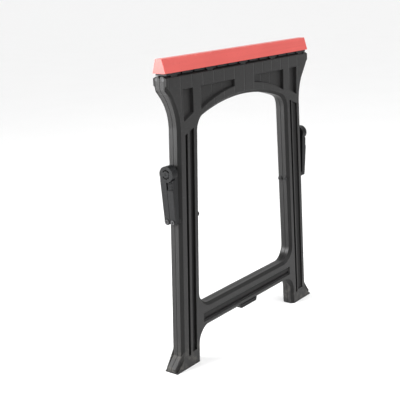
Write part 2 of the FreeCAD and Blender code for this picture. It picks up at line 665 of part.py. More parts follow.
# ---------------------------------------------------------------- top
def make_hinge_rail():
    """Rail under the cap, with an ear on each pin for every slot in the leg frames."""
    body = new_body("hinge_rail")
    half_length, half_width = "(%s - sizes.rail_end_gap)" % HALF_BEAM, RAIL_HALF
    pad(body, "plate", "YZ_Plane", minus(half_length),
        [rectangle(minus(half_width), RAIL_Z, half_width, CAP_Z)], "(2 * %s)" % half_length)
    start = "(%s - sizes.ear_width / 2)" % EAR_START
    ear_top = "(%s + sizes.rail_thick / 2)" % RAIL_Z
    for bank, word, y in ((-1, "front", minus(MID_Y)), (1, "back", MID_Y)):
        ear = [pad(body, word + "_ear_neck", "YZ_Plane", start,
                   [ear_neck(bank, "(sizes.ear_radius - sizes.ear_waist)", ear_top, "0")],
                   "sizes.ear_width"),
               pad(body, word + "_ear_round", "YZ_Plane", start,
                   [("circle", y, HINGE_Z, "sizes.ear_radius")], "sizes.ear_width")]
        repeat(body, ear, word + "_ears", "YZ_Plane", EAR_SPAN, "sizes.ear_count")
    pocket(body, "pin_bores", "YZ_Plane", HALF_BEAM,
           [("circle", minus(MID_Y), HINGE_Z, "sizes.pin_radius"),
            ("circle", MID_Y, HINGE_Z, "sizes.pin_radius")], "sizes.beam_length")
    first = "(-(sizes.rail_notch_count - 1) * sizes.rail_notch_pitch / 2)"
    notch_near = "(%s - sizes.rail_notch_depth)" % half_width
    notch_far = f"({half_width} + {OVERRUN})"
    for word, flip in (("front", minus), ("back", lambda y: y)):
        notch = pocket(body, word + "_notch", "YZ_Plane", "(%s + sizes.rail_notch_width / 2)" % first,
                       [rectangle(flip(notch_near), RAIL_Z, flip(notch_far), CAP_Z)],
                       "sizes.rail_notch_width")
        repeat(body, [notch], word + "_notches", "YZ_Plane",
               "((sizes.rail_notch_count - 1) * sizes.rail_notch_pitch)", "sizes.rail_notch_count")
    shank = "(sizes.screw_radius + sizes.running_gap)"
    head = "(sizes.screw_head_radius + sizes.running_gap)"
    pocket(body, "screw_holes", "XY_Plane", CAP_Z, [("circle", x, "0", shank) for x in SCREW_X],
           f"(sizes.rail_thick + {OVERRUN})")
    pocket(body, "screw_head_seats", "XY_Plane", RAIL_Z, [("circle", x, "0", head) for x in SCREW_X],
           "sizes.screw_head_height", reverse=True)
    return body


def make_top_cap():
    """Red cap on the beam: a hollow ridge with cross ribs, open below."""
    body = new_body("top_cap")
    half = "(%s + sizes.cap_overhang)" % HALF_BEAM
    top = "(%s + sizes.cap_height)" % CAP_Z
    low_half, high_half = FRONT_Y, "(sizes.cap_top / 2)"
    slope = "((%s - %s) / sizes.cap_height)" % (low_half, high_half)
    pad(body, "ridge", "YZ_Plane", minus(half),
        [[(minus(low_half), CAP_Z), (low_half, CAP_Z), (high_half, top), (minus(high_half), top)]],
        "(2 * %s)" % half)
    side_wall = f"(sizes.cap_wall * sqrt(1 + {slope} ^ 2))"
    inner_low = f"({low_half} - {side_wall})"
    inner_high = f"({high_half} + sizes.cap_wall * {slope} - {side_wall})"
    ceiling = "(%s - sizes.cap_wall)" % top
    hollow = [(minus(inner_low), CAP_Z), (inner_low, CAP_Z), (inner_high, ceiling),
              (minus(inner_high), ceiling)]
    end_wall = "(%s - sizes.cap_wall + sizes.cap_rib / 2)" % half
    walls = [minus(end_wall)] + sorted(["0"] + SCREW_X, key=number) + [end_wall]
    for place in range(len(walls) - 1):
        start = "(%s + sizes.cap_rib / 2)" % walls[place]
        end = "(%s - sizes.cap_rib / 2)" % walls[place + 1]
        pocket(body, "cell_%d" % place, "YZ_Plane", end, [hollow], "(%s - %s)" % (end, start))
    pocket(body, "screw_bores", "XY_Plane", CAP_Z,
           [("circle", x, "0", "sizes.screw_radius") for x in SCREW_X],
           "(sizes.screw_length - sizes.rail_thick + sizes.screw_head_height)", reverse=True)
    return body


def make_rail_screws():
    """Six screws from under the rail into the cap's ribs."""
    screws = []
    for x in SCREW_X:
        head = Part.makeCylinder(number("sizes.screw_head_radius"), number("sizes.screw_head_height"),
                                 Vector(number(x), 0, number(RAIL_Z)))
        shank = Part.makeCylinder(number("sizes.screw_radius"), number("sizes.screw_length"),
                                  Vector(number(x), 0, number(RAIL_Z)))
        slot_length, slot_width = number("sizes.screw_head_radius"), number("sizes.screw_slot_width")
        slot = Part.makeBox(slot_length, slot_width, number("sizes.screw_slot_depth"),
                            Vector(number(x) - slot_length / 2, -slot_width / 2, number(RAIL_Z)))
        screws.append(head.fuse(shank).removeSplitter().cut(slot))
    feature = doc.addObject("Part::Feature", "rail_screws")
    feature.Shape = Part.makeCompound(screws)
    feature.Label = "rail_screws"
    nodes.append(feature)


def mirrored_pair(label, source):
    """Node of two solids: a piece and its mirror image across the sawhorse's middle."""
    nodes.remove(source)
    feature = doc.addObject("Part::Feature", label)
    twin = source.Shape.mirror(Vector(0, 0, 0), Vector(1, 0, 0))
    feature.Shape = Part.makeCompound([source.Shape, twin])
    feature.Label = label
    nodes.append(feature)
    return feature


# ---------------------------------------------------------------- braces
def pad_arm(body, name, bank, bottom, top, length, side):
    """Stretch of a link's arm between two heights; bank is -1 for the front link, +1 for the back."""
    flip = minus if bank < 0 else (lambda y: y)
    near, low_far = "(sizes.link_side_gap / 2)", "(2 * sizes.brace_pin_y - sizes.link_side_gap / 2)"
    high_far = "(sizes.hub_radius - sizes.link_edge_inset)"

    def far(height):
        share = f"(({height} - {BRACE_PIN_Z}) / ({HUB_Z} - {BRACE_PIN_Z}))"
        return f"({low_far} + ({high_far} - {low_far}) * {share})"
    pad_x(body, name, LINK_INNER,
          [[(flip(near), bottom), (flip(far(bottom)), bottom), (flip(far(top)), top), (flip(near), top)]],
          length, side)


def pad_eye(body, bank, side):
    """Round lower end of a link, about its leg pin."""
    y = minus("sizes.brace_pin_y") if bank < 0 else "sizes.brace_pin_y"
    pad_x(body, "eye", LINK_INNER,
          [("circle", y, BRACE_PIN_Z, "(sizes.brace_pin_y - sizes.link_side_gap / 2)")],
          f"({HUB_OUTER} - {LINK_INNER})", side)


def shave(body, side):
    """Tapers the outside of a link from the hub down to its eye."""
    low, high = LINK_LOW_OUTER, HUB_OUTER
    eye_top = f"({BRACE_PIN_Z} + sizes.brace_pin_y)"
    hub_low = f"({HUB_Z} - sizes.hub_radius)"
    under = f"({BRACE_PIN_Z} - 2 * sizes.brace_pin_y)"
    flip = (lambda x: x) if side > 0 else minus
    past = f"({high} + {OVERRUN})"
    pocket(body, "taper", "XZ_Plane", f"{FAR}",
           [[(flip(low), under), (flip(past), under), (flip(past), hub_low), (flip(high), hub_low),
             (flip(low), eye_top)]], f"(2 * {FAR})")


def make_front_link(label, side):
    """Front link: the inner layer at the hub, a toothed step, and full thickness below it."""
    body = new_body(label)
    step = f"({HUB_Z} - sizes.link_step_drop)"
    shelf = f"({HUB_OUTER} - {LINK_INNER} - sizes.link_recess)"
    pad_x(body, "hub", LINK_INNER, [("circle", "0", HUB_Z, "sizes.hub_radius")],
          "sizes.layer", side)
    pad_arm(body, "neck", -1, step, HUB_Z, "sizes.layer", side)
    pad_arm(body, "shelf", -1, step, f"({HUB_Z} - sizes.link_shelf_drop)", shelf, side)
    pad_arm(body, "arm", -1, BRACE_PIN_Z, step, f"({HUB_OUTER} - {LINK_INNER})", side)
    tooth_end = "(sizes.hub_radius - sizes.link_edge_inset - sizes.link_tooth_inset)"
    tooth_low = f"({step} + sizes.link_tooth_pitch / 2)"
    tooth = pad_x(body, "tooth", LINK_INNER,
                  [rectangle(minus(tooth_end), tooth_low, minus("sizes.link_tooth_inset"),
                             f"({tooth_low} + sizes.link_tooth_height)")],
                  f"({shelf} + sizes.link_tooth_proud)", side)
    repeat(body, [tooth], "teeth", "XY_Plane",
           "((sizes.link_tooth_count - 1) * sizes.link_tooth_pitch)", "sizes.link_tooth_count")
    pad_eye(body, -1, side)
    pocket_x(body, "hub_room", f"({LINK_INNER} + sizes.layer)",
             [("circle", "0", HUB_Z, "(sizes.hub_radius + sizes.link_side_gap)")],
             f"({HUB_OUTER} - {LINK_INNER})", side)
    shave(body, side)
    link_bores(body, -1, "(sizes.brace_pin_radius + sizes.running_gap)", "sizes.hub_pin_radius", side)
    return body


def make_back_link(label, side):
    """Back link: the outer layer at the hub, cut away behind it for the front link's disc."""
    body = new_body(label)
    outer = f"({LINK_INNER} + sizes.layer + sizes.layer_gap)"
    pad_arm(body, "arm", 1, BRACE_PIN_Z, HUB_Z,
            f"({HUB_OUTER} - {LINK_INNER})", side)
    pad_eye(body, 1, side)
    pad_x(body, "hub", outer, [("circle", "0", HUB_Z, "sizes.hub_radius")],
          f"({HUB_OUTER} - %s)" % outer, side)
    pocket_x(body, "hub_room", f"({LINK_INNER} - {OVERRUN})",
             [("circle", "0", HUB_Z, "(sizes.hub_radius + sizes.link_side_gap)")],
             f"({outer} - {LINK_INNER} + {OVERRUN})", side)
    shave(body, side)
    link_bores(body, 1, "sizes.brace_pin_radius", "(sizes.hub_pin_radius + sizes.running_gap)", side)
    seat = f"({HUB_OUTER} - sizes.hub_cap_depth)"
    cap = "sizes.hub_cap_radius"
    pocket_x(body, "cap_seat", seat, [("circle", "0", HUB_Z, cap)],
             f"(sizes.hub_cap_depth + {OVERRUN})", side)
    pocket_x(body, "hub_slots", f"({HUB_OUTER} - sizes.hub_slot_depth)",
             [hub_slot(cap, start) for start in HUB_SLOT_STARTS],
             f"(sizes.hub_slot_depth + {OVERRUN})", side)
    return body


def hub_slot(radius, start):
    """Curved slot round the hub's cap, from a start angle in degrees."""
    narrow, wide = "(%s - sizes.hub_slot_lap)" % radius, "(%s + sizes.hub_slot_width)" % radius
    angles = [math.radians(start), math.radians(start + HUB_SLOT_TURN)]

    def spot(size, angle):
        return ("%s * %.6f" % (size, math.cos(angle)),
                f"({HUB_Z} + %s * %.6f)" % (size, math.sin(angle)))
    inner = [spot(narrow, angle) for angle in angles]
    outer = [spot(wide, angle) for angle in angles]
    return [outer[0] + (wide, +1), outer[1], inner[1] + (narrow, -1), inner[0]]


def link_bores(body, bank, pin_bore, hub_bore, side):
    flip = minus if bank < 0 else (lambda y: y)
    length = f"({HUB_OUTER} - {LINK_INNER} + 2 * {OVERRUN})"
    pocket_x(body, "pin_bores", f"({LINK_INNER} - {OVERRUN})",
             [("circle", flip("sizes.brace_pin_y"), BRACE_PIN_Z, pin_bore),
              ("circle", "0", HUB_Z, hub_bore)], length, side)


def make_brace(side, word):
    """One folding brace: two links, the hub's pin and cap, leg pins, spacers and clips."""
    make_front_link(word + "_front_link", side)
    make_back_link(word + "_back_link", side)
    seat = f"({HUB_OUTER} - sizes.hub_cap_depth)"
    face = f"({HUB_OUTER} + sizes.hub_cap_proud)"
    rod(word + "_hub_pin", "0", HUB_Z,
        [(f"({LINK_INNER} + sizes.hub_pin_inset)", f"({seat} - sizes.end_gap)", "sizes.hub_pin_radius")],
        side=side)
    rod(word + "_hub_cap", "0", HUB_Z, [(seat, face, "sizes.hub_cap_radius")],
        [(f"({face} - sizes.hub_cap_dimple)", f"({face} + {OVERRUN})", "(sizes.hub_cap_radius / 3)")],
        side)
    pin = "sizes.brace_pin_radius"
    tip = f"({CLIP_X} - sizes.clip_thick - sizes.pin_tip)"
    for bank, y in (("front", minus("sizes.brace_pin_y")), ("back", "sizes.brace_pin_y")):
        head = f"({LINK_LOW_OUTER} + sizes.end_gap)" if bank == "front" else LINK_LOW_OUTER
        head_end = f"({head} + sizes.rivet_head_height)"
        dimple = [(f"({head_end} - sizes.rivet_head_height / 2)", f"({head_end} + {OVERRUN})",
                   "sizes.rivet_dimple_radius")]
        head_step = (head, head_end, "sizes.rivet_head_radius")
        if bank == "front":
            rod(word + "_front_leg_pin", y, BRACE_PIN_Z, [(tip, head, pin), head_step], dimple, side)
        else:
            rod(word + "_back_leg_pin", y, BRACE_PIN_Z,
                [(tip, f"({BOSS_END} - sizes.end_gap)", pin)], side=side)
            rod(word + "_back_rivet", y, BRACE_PIN_Z,
                [(f"({LINK_INNER} + sizes.end_gap)", head, pin), head_step], dimple, side)
        rod(f"{word}_{bank}_spacer", y, BRACE_PIN_Z,
            [(BOSS_END, f"({LINK_INNER} - sizes.end_gap)", "sizes.spacer_radius")],
            [(f"({BOSS_END} - {OVERRUN})", f"({LINK_INNER} + {OVERRUN})", pin)], side)
        rod(f"{word}_{bank}_clip", y, BRACE_PIN_Z,
            [(f"({CLIP_X} - sizes.clip_thick)", CLIP_X, "sizes.clip_radius")],
            [(tip, f"({CLIP_X} + {OVERRUN})", pin)], side)


make_top_cap()
make_hinge_rail()
make_rail_screws()
for name, y in (("front", minus(MID_Y)), ("back", MID_Y)):
    rod(name + "_hinge_pin", y, HINGE_Z, [(minus(PIN_X), PIN_X, "sizes.pin_radius")])
    plug = rod(name + "_plug", y, HINGE_Z,
               [(f"({HALF_BEAM} - sizes.plug_length + sizes.end_gap)", HALF_BEAM, "sizes.plug_radius")])
    mirrored_pair(name + "_pin_plugs", plug)
for name, turned in (("front", False), ("back", True)):
    make_frame(name + "_leg_frame", turned)
    for side, word in ((1, "right"), (-1, "left")):
        make_foot_pad("%s_%s_foot_pad" % (name, word), -side if turned else side, turned)
for side, word in ((1, "right"), (-1, "left")):
    make_brace(side, word)

doc.recompute()
for item in doc.Objects:
    if "Invalid" in item.State or "Error" in item.State:
        raise RuntimeError("%s failed: %s" % (item.Name, item.State))
for node in nodes:
    if node.Shape.isNull() or not node.Shape.isValid() or not node.Shape.Solids:
        raise RuntimeError("%s has no valid shape" % node.Label)
os.makedirs("parts", exist_ok=True)
for node in nodes:
    node.Shape.exportStep("parts/%s.step" % node.Label)
print("%d nodes" % len(nodes))
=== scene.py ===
import json
import math

import bpy
from bpy.props import FloatProperty, FloatVectorProperty, PointerProperty
from mathutils import Matrix, Vector

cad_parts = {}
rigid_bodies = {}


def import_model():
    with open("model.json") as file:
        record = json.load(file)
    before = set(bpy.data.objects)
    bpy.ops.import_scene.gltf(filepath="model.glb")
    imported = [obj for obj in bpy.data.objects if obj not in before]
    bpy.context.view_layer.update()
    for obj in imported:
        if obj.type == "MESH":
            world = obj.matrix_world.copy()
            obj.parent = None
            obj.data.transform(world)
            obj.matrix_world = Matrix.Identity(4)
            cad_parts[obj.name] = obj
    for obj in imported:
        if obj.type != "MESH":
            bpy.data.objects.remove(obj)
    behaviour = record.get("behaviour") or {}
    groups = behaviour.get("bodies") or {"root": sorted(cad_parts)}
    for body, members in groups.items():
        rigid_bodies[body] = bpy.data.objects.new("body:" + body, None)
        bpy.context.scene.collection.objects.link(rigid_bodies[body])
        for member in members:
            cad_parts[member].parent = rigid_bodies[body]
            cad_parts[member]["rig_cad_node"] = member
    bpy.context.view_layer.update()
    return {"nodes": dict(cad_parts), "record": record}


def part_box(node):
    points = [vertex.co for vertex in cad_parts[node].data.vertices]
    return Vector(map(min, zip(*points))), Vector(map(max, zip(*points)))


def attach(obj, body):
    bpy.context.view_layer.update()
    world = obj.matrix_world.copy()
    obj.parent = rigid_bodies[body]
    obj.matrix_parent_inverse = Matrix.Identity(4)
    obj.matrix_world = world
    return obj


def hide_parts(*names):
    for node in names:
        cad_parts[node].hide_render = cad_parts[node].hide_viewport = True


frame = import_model()

bl_info = {
    "name": "Folding sawhorse",
    "version": (1, 0, 0),
    "blender": (4, 5, 0),
    "location": "3D View > Sidebar > Sawhorse",
    "description": "Finishes the packed folding sawhorse and sets up its studio",
    "category": "Object",
}

MM = 0.001
SIDES = ("left", "right")
BANKS = ("front", "back")

DIRECTION, OBJECT_PLACE = 0, 3          # outputs of the Texture Coordinate node
MIX_SHARE, MIX_FIRST, MIX_SECOND = 0, 6, 7      # inputs of a Mix node for colours
MIX_COLOR = 2                           # and its output
NOISE_SPAN = (0.3, 0.7)                 # of a noise, spread to run from 0 to 1
NOISE_MIDDLE = 0.5
MERGE_DISTANCE = 0.002 * MM
FLAT_ANGLE = math.radians(0.6)          # faces that meet at less are joined
ROUNDED_ANGLE = math.radians(28)        # edges sharper than this are rounded
SMOOTH_ANGLE = math.radians(35)
ROUNDING_SEGMENTS = 2
SENSOR_WIDTH = 36.0
FAR_CLIP = 100.0


# ---------------------------------------------------------------- shader maths
class Value:
    """A socket of a material; arithmetic on values adds Math nodes to its tree."""

    def __init__(self, tree, socket=None):
        self.tree = tree
        self.socket = socket

    def node(self, kind, settings=None, sockets=None, output=0):
        """Adds a node: its settings first, then the values or links of its sockets."""
        made = self.tree.nodes.new(kind)
        for name, setting in (settings or {}).items():
            setattr(made, name, setting)
        for name, given in (sockets or {}).items():
            if isinstance(given, Value):
                self.tree.links.new(given.socket, made.inputs[name])
            else:
                made.inputs[name].default_value = given
        return Value(self.tree, made.outputs[output])

    def maths(self, operation, *values):
        return self.node("ShaderNodeMath", {"operation": operation}, dict(enumerate(values)))

    def __add__(self, other):
        return self.maths("ADD", self, other)

    def __radd__(self, other):
        return self.maths("ADD", other, self)

    def __sub__(self, other):
        return self.maths("SUBTRACT", self, other)

    def __rsub__(self, other):
        return self.maths("SUBTRACT", other, self)

    def __mul__(self, other):
        return self.maths("MULTIPLY", self, other)

    def __rmul__(self, other):
        return self.maths("MULTIPLY", other, self)

    def __abs__(self):
        return self.maths("ABSOLUTE", self)

    def between(self, low, high):
        """0 at low, 1 at high, smooth between them."""
        return self.node("ShaderNodeMapRange", {"interpolation_type": "SMOOTHSTEP"},
                         {"Value": self, "From Min": low, "From Max": high})

    def below(self, low, high):
        """1 at low, 0 at high, smooth between them."""
        return 1 - self.between(low, high)

    def band(self, start, end):
        """1 in a band that rises over the span start and falls over the span end."""
        return self.between(*start) * self.below(*end)

    def wrapped(self, period):
        """Distance to the nearest whole number of periods."""
        return self.maths("PINGPONG", self, period / 2)

    def swing(self, share):
        """A noise about its middle, times share."""
        return (self - NOISE_MIDDLE) * share

    def mixed(self, first, second):
        """Colour from first to second as this value goes from 0 to 1."""
        return self.node("ShaderNodeMix", {"data_type": "RGBA"},
                         {MIX_SHARE: self, MIX_FIRST: first, MIX_SECOND: second},
                         output=MIX_COLOR)

    def tinted(self, mask, color, share):
        """This paint with part of a colour laid over it where the mask is 1."""
        return (mask * share).mixed(self, rgba(color))


def new_material(name, **constants):
    """Material with one Principled shader, whose constant sockets are set here."""
    made = bpy.data.materials.new(name)
    made.use_nodes = True
    tree = made.node_tree
    shader = tree.nodes["Principled BSDF"]
    for socket, constant in constants.items():
        shader.inputs[socket.replace("_", " ")].default_value = constant
    place = Value(tree).node("ShaderNodeTexCoord", output=OBJECT_PLACE)
    return made, shader, place


def feed(shader, tree, **links):
    """Links values to the sockets of a shader."""
    for socket, value in links.items():
        tree.links.new(value.socket, shader.inputs[socket.replace("_", " ")])


def stretched(place, scale):
    """The place with each axis scaled by itself."""
    return place.node("ShaderNodeMapping", {"vector_type": "POINT"},
                      {"Vector": place, "Scale": scale})


def noise(place, scale, detail=3.0):
    """Cloudy pattern with about scale clouds to the metre."""
    return place.node("ShaderNodeTexNoise", None,
                      {"Vector": place, "Scale": scale, "Detail": detail, "Roughness": 0.55})


def cells(place, scale, feature="F1"):
    """Pattern of irregular cells, about scale of them to the metre."""
    return place.node("ShaderNodeTexVoronoi", {"feature": feature},
                      {"Vector": place, "Scale": scale})


def lines(place, pull, width, patches, patch_span):
    """Thin scratches along the edges of pulled cells, only in some patches."""
    edges = cells(stretched(place, pull), 1.0, "DISTANCE_TO_EDGE")
    return edges.below(0.0, width) * noise(place, patches).between(*patch_span)


def split(place, axis):
    """One coordinate of the place: 0 along the beam, 1 to the back, 2 up."""
    return place.node("ShaderNodeSeparateXYZ", None, {0: place}, output=axis)


def radius_of(first, second):
    """Length of the line whose two parts are first and second."""
    return first.maths("SQRT", first * first + second * second)


def bump(height, distance, strength=1.0, under=None):
    """Normal of a relief whose full height is distance, on top of another relief."""
    sockets = {"Height": height, "Distance": distance, "Strength": strength}
    if under is not None:
        sockets["Normal"] = under
    return height.node("ShaderNodeBump", None, sockets)


def rgba(color, share=1.0):
    """Colour with each channel times share, and full alpha."""
    return tuple(channel * share for channel in color) + (1.0,)


# ---------------------------------------------------------------- materials
def moulded_plastic(name, color, shade_mask_of=None, head_ribs=False, roughness=0.42, dusty=True,
                    gloss=0.32):
    """Satin black moulding: spark-eroded grain, flow streaks, worn shine and dust at the foot.

    The third argument is a function of the place that is 1 where the moulding is duller and
    darkened with painted shade.
    """
    darkest, lightest = rgba(color, 0.82), rgba(color, 1.22)
    speck_color, scratch_color = (0.11, 0.11, 0.115), (0.14, 0.14, 0.145)
    dust_color, shade_color = (0.15, 0.14, 0.125), (0.0012, 0.0011, 0.0011)
    streak_pull, scratch_pull = (90.0, 90.0, 3.0), (26.0, 26.0, 150.0)
    dust_height = 0.09

    made, shader, place = new_material(name, Specular_IOR_Level=gloss)
    tree = made.node_tree
    height = split(place, 2)
    cloud = noise(place, scale=7.0, detail=4.0)
    streaks = noise(stretched(place, streak_pull), scale=1.0, detail=2.0)
    grain = noise(place, scale=1500.0, detail=2.0)
    pits = cells(place, scale=1100.0)
    specks = noise(place, scale=420.0, detail=2.0).between(0.66, 0.74)
    scratches = lines(place, scratch_pull, width=0.018, patches=11.0, patch_span=(0.58, 0.7))

    tone = cloud.between(*NOISE_SPAN) * 0.6 + streaks.between(*NOISE_SPAN) * 0.4
    paint = tone.mixed(darkest, lightest)
    paint = paint.tinted(specks, speck_color, share=0.35)
    paint = paint.tinted(scratches, scratch_color, share=0.3)
    shine = roughness + cloud.swing(0.16) + streaks.swing(0.1) + grain.swing(0.14)
    if dusty:
        dust = noise(place, scale=60.0, detail=4.0).between(0.42, 0.66)
        dust = dust * height.below(0.0, dust_height)
        paint = paint.tinted(dust, dust_color, share=0.4)
        shine = shine + dust * 0.18
    # painted shade: where the mask is 1, the bevels, pockets and gaps are darkened towards black
    # and made duller
    if shade_mask_of:
        painted_shade = shade_mask_of(place)
        paint = paint.tinted(painted_shade, shade_color, share=0.62)
        shine = shine + painted_shade * 0.22
    relief = bump(grain * 0.7 + pits * 0.5, distance=0.09 * MM, strength=0.7)
    if head_ribs:
        rib = head_rib(place)
        relief = bump(rib * -1.0, distance=0.4 * MM, strength=1.0, under=relief)
        shine = shine - rib * 0.05
    feed(shader, tree, Base_Color=paint, Roughness=shine, Normal=relief)
    return made


def head_rib(place):
    """Upright lines on the head of the leg frames, evenly spaced along the beam."""
    spacing, half_width = 45 * MM, 3.2 * MM
    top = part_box("back_leg_frame")[1][2]
    rise, fall = (top - 110 * MM, top - 65 * MM), (top - 8 * MM, top - 2 * MM)
    line = split(place, 0).wrapped(spacing).below(0.0, half_width)
    return line * split(place, 2).band(rise, fall)


def frame_shade_mask(place):
    """Mask of painted shade on the bevels, flutes and pockets of the leg frames, by their depth
    behind the faces.
    """
    start, end = (0.3 * MM, 1.2 * MM), (7.2 * MM, 8.4 * MM)
    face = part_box("back_leg_frame")[1][1]
    return (face - abs(split(place, 1))).band(start, end)


def hub_shade_mask(place):
    """Mask of painted shade on the bottoms of the curved slots round the hub caps, and in the gaps
    between the links.
    """
    slot_width, gap_half_width = 3 * MM, 0.6 * MM
    sunk_from, sunk_to = 0.5 * MM, 1.5 * MM
    low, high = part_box("right_hub_cap")
    radius, middle = (high[2] - low[2]) / 2, (high[2] + low[2]) / 2
    across, rise = split(place, 1), split(place, 2) - middle
    inner, outer = (radius - 0.2 * MM, radius), (radius + slot_width, radius + slot_width + MM)
    ring = radius_of(across, rise).band(inner, outer)
    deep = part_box("right_back_link")[1][0] - abs(split(place, 0))
    slots = ring * deep.between(sunk_from, sunk_to)
    gap = abs(across).below(gap_half_width, 2 * gap_half_width)
    return gap.maths("MAXIMUM", slots, gap)


def red_plastic(name, color, roughness=0.36):
    """Satin red moulding with two rows of fine grip dimples darkened with painted shade, and rubbed
    top corners lightened partly by wear and partly as a painted highlight.
    """
    darkest, lightest = rgba(color, 0.93), rgba(color, 1.06)
    dimple_shade_color = [channel * 0.5 for channel in color]
    rub_and_highlight_color, scratch_color = (0.85, 0.5, 0.47), (0.8, 0.4, 0.37)
    streak_pull, scratch_pull = (4.0, 120.0, 120.0), (140.0, 20.0, 20.0)
    row_spacing, dimple_spacing, dimple_radius = 14 * MM, 24 * MM, 1.1 * MM
    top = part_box("top_cap")[1][2]
    first_row, lightened_from, lightened_to = top - 29.5 * MM, top - 5 * MM, top - 0.5 * MM

    made, shader, place = new_material(name, Specular_IOR_Level=0.5)
    tree = made.node_tree
    across, height = split(place, 0), split(place, 2)
    cloud = noise(place, scale=5.0)
    grain = noise(place, scale=1300.0, detail=2.0)
    streaks = noise(stretched(place, streak_pull), scale=1.0, detail=2.0)
    reach = radius_of((height - first_row).wrapped(row_spacing), across.wrapped(dimple_spacing))
    dimple = reach.below(0.5 * MM, dimple_radius)
    # rubbed wear and painted highlight: a lighter, rougher band just under the top, in patches
    rub_and_highlight = noise(place, scale=85.0, detail=4.0).between(0.45, 0.7)
    rub_and_highlight = rub_and_highlight * height.between(lightened_from, lightened_to)
    scratches = lines(place, scratch_pull, width=0.02, patches=9.0, patch_span=(0.56, 0.7))

    tone = cloud.between(*NOISE_SPAN) * 0.5 + streaks.between(*NOISE_SPAN) * 0.5
    paint = tone.mixed(darkest, lightest)
    # painted shade: the dimples are darkened
    paint = paint.tinted(dimple, dimple_shade_color, share=0.4)
    # rubbed wear and painted highlight along the top
    paint = paint.tinted(rub_and_highlight, rub_and_highlight_color, share=0.16)
    paint = paint.tinted(scratches, scratch_color, share=0.3)
    shine = roughness + cloud.swing(0.14) + grain.swing(0.1) + rub_and_highlight * 0.1 + scratches * 0.12
    relief = bump(grain - dimple * 3.0, distance=0.07 * MM, strength=0.6)
    feed(shader, tree, Base_Color=paint, Roughness=shine, Normal=relief)
    return made


def zinc_steel(name, color, roughness=0.3):
    """Zinc plate: fine turning lines, cloudy blue-white patches and a little grime."""
    darkest, lightest = rgba(color, 0.85), rgba(color, 1.1)
    grime_color = (0.09, 0.085, 0.08)
    turning_pull = (3000.0, 120.0, 120.0)

    made, shader, place = new_material(name, Specular_IOR_Level=0.5)
    cloud = noise(place, scale=140.0, detail=4.0)
    turning = noise(stretched(place, turning_pull), scale=1.0, detail=2.0)
    grime = noise(place, scale=320.0, detail=4.0).between(0.5, 0.75)
    paint = cloud.between(*NOISE_SPAN).mixed(darkest, lightest)
    paint = paint.tinted(grime, grime_color, share=0.5)
    shine = roughness + cloud.swing(0.2) + turning * 0.08 + grime * 0.25
    feed(shader, made.node_tree, Base_Color=paint, Roughness=shine, Metallic=1 - grime * 0.6,
         Normal=bump(turning, distance=0.03 * MM, strength=0.5))
    return made


def blackened_steel(name, color, roughness=0.4):
    """Black oxide on steel: an even dark skin, rubbed bright in specks, and painted shade in the
    dark pin centres.
    """
    darkest, lightest = rgba(color, 0.8), rgba(color, 1.3)
    bright_color, pin_centre_shade_color = (0.16, 0.16, 0.165), (0.0008, 0.0008, 0.0008)
    centre_radius, centre_edge = 2.0 * MM, 2.6 * MM

    made, shader, place = new_material(name, Specular_IOR_Level=0.5)
    low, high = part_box("right_front_spacer")
    across = abs(split(place, 1)) + (low[1] + high[1]) / 2
    rise = split(place, 2) - (low[2] + high[2]) / 2
    pin_centre_shade = radius_of(across, rise).below(centre_radius, centre_edge)
    cloud = noise(place, scale=160.0, detail=4.0)
    rubbed = noise(place, scale=520.0).between(0.62, 0.78)
    paint = cloud.between(*NOISE_SPAN).mixed(darkest, lightest)
    paint = paint.tinted(rubbed, bright_color, share=0.5)
    # painted shade: the pin centres are painted near black
    paint = paint.tinted(pin_centre_shade, pin_centre_shade_color, share=0.9)
    shine = roughness + cloud.swing(0.2) - rubbed * 0.08 + pin_centre_shade * 0.5
    feed(shader, made.node_tree, Base_Color=paint, Roughness=shine, Metallic=0.3 + rubbed * 0.5,
         Normal=bump(cloud, distance=0.05 * MM, strength=0.5))
    return made


def rubber(name, color, roughness=0.72):
    """Dull rubber with a pebbled skin and pale dust in it."""
    dust_color = (0.11, 0.105, 0.095)

    made, shader, place = new_material(name, Specular_IOR_Level=0.35)
    pebble = cells(place, 700.0, "SMOOTH_F1")
    dust = noise(place, scale=90.0, detail=5.0).between(0.48, 0.72)
    paint = (dust * 0.5).mixed(rgba(color), rgba(dust_color))
    feed(shader, made.node_tree, Base_Color=paint, Roughness=roughness + dust * 0.15,
         Normal=bump(pebble, distance=0.15 * MM, strength=0.6))
    return made


def studio_floor(name, color, roughness=0.7):
    """Pale matt floor with a hardly visible mottle."""
    made, shader, place = new_material(name, Specular_IOR_Level=0.2)
    cloud = noise(place, scale=2.2).between(*NOISE_SPAN)
    feed(shader, made.node_tree, Base_Color=cloud.mixed(rgba(color, 0.99), rgba(color)),
         Roughness=roughness + cloud * 0.08)
    return made


# ---------------------------------------------------------------- mesh helpers
def body_name(node):
    """CAD body that a node belongs to."""
    bodies = frame["record"]["behaviour"]["bodies"]
    return [body for body, members in bodies.items() if node in members][0]


def slot_name(node):
    """The record's material slot of a node."""
    rows = frame["record"]["subparts"]
    return [row["material_slot"] for row in rows if row["node"] == node][0]


def select_only(piece):
    """Selects one piece and makes it the active one."""
    bpy.ops.object.select_all(action="DESELECT")
    piece.select_set(True)
    bpy.context.view_layer.objects.active = piece


def set_material(piece, material):
    """Gives the whole piece one material."""
    piece.data.materials.clear()
    piece.data.materials.append(material)


